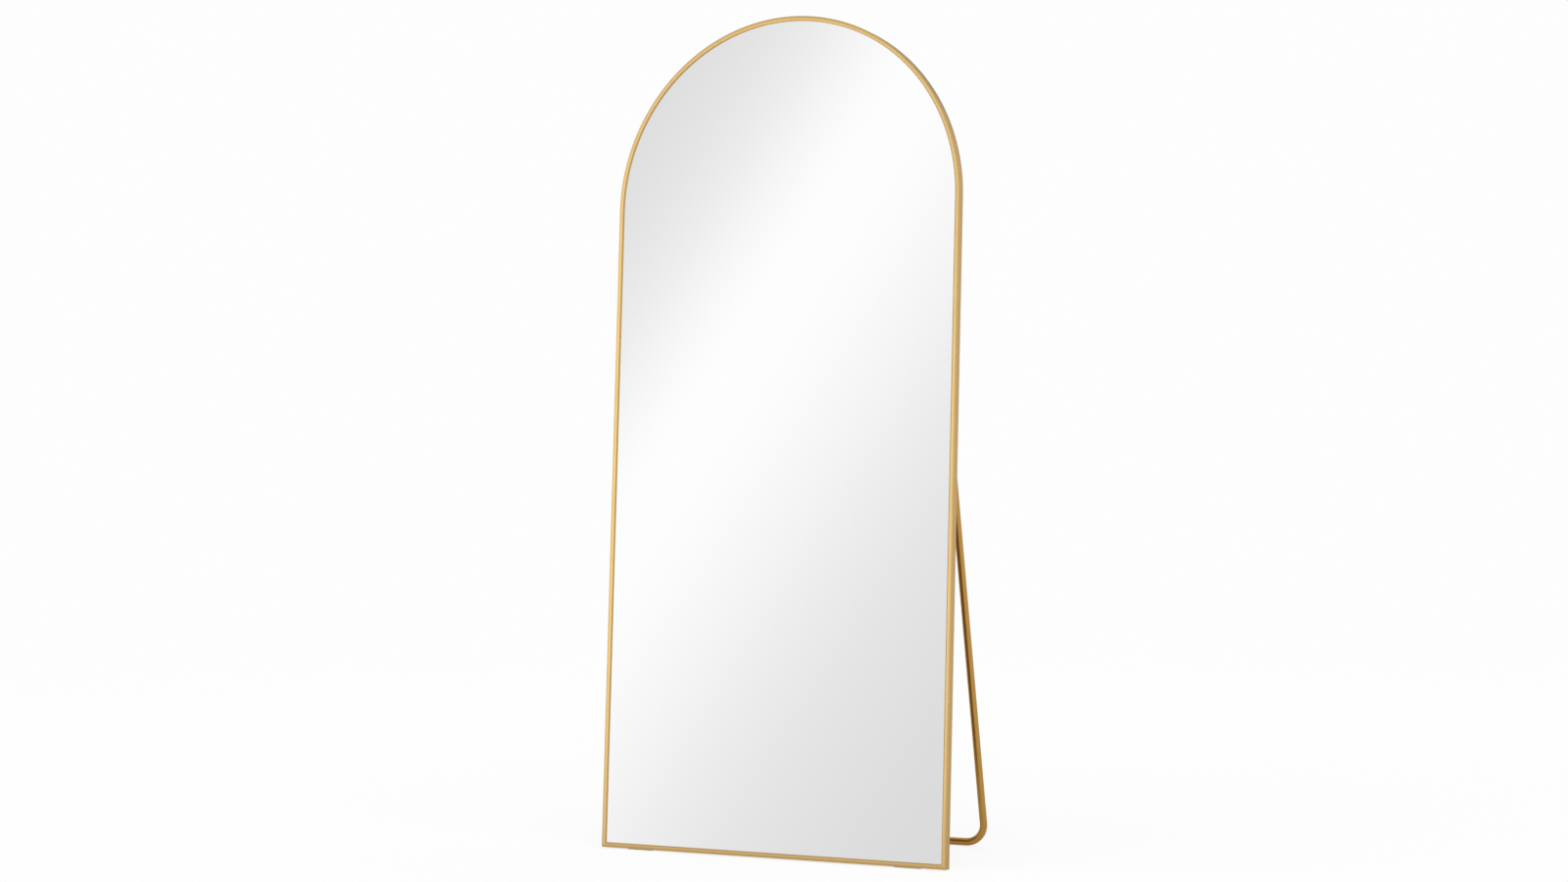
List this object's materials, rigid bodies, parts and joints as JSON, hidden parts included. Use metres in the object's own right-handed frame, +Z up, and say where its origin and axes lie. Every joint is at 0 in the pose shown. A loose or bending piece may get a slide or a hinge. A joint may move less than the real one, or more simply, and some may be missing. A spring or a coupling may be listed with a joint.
{
  "type": "leaning floor mirror",
  "caption": "Tall arched mirror in a slim brushed gold metal frame, leaning back on a folding U-shaped tube stand.",
  "frame": {"origin": "on the floor, in the middle of the object's footprint", "axes": "+Z up, +X to the right of someone who faces the mirror, and the glass faces -Y, leaning back 4 degrees towards +Y"},
  "size_m": [0.813, 0.3558, 1.8012],
  "materials": {
    "frame": "brushed, anodised pale gold",
    "tube": "satin gold lacquer on bent steel tube",
    "bracket": "satin gold lacquer on pressed steel",
    "bar": "mill finish flat bar",
    "key": "plain cast metal, hidden",
    "fastener": "zinc plated",
    "mirror": "silvered float glass",
    "film": "thin safety film",
    "foam": "white foam sheet",
    "board": "smooth brown hardboard",
    "nylon": "natural nylon",
    "plug": "black moulded plastic",
    "rubber": "black rubber",
    "silicone": "clear silicone rubber"
  },
  "bodies": {
    "mirror": {"arch_frame": "frame", "bottom_rail": "frame", "corner_key_left": "key", "corner_key_right": "key", "corner_key_screws": "fastener", "mirror_glass": "mirror", "safety_film": "film", "foam_sheet": "foam", "backboard": "board", "crossbar": "bar", "hinge_bracket_left": "bracket", "hinge_bracket_right": "bracket", "bracket_screws": "fastener", "hinge_bolt_left": "fastener", "hinge_bolt_right": "fastener", "hinge_nuts": "fastener", "hinge_washers": "nylon", "hanger_plate_left": "bracket", "hanger_plate_right": "bracket", "hanger_screws": "fastener", "floor_pad_left": "silicone", "floor_pad_right": "silicone", "fold_bumpers": "rubber"},
    "stand": {"stand_tube": "tube", "tube_plug_left": "plug", "tube_plug_right": "plug", "pivot_bush_left": "nylon", "pivot_bush_right": "nylon", "floor_sleeve_left": "rubber", "floor_sleeve_right": "rubber"}
  },
  "joints": [
    {"name": "stand_fold", "type": "hinge", "parent": "mirror", "child": "stand", "pos_m": [0, -0.06525, 1.13773], "axis": [-1, 0, 0], "range_deg": [0, 15.7]}
  ]
}
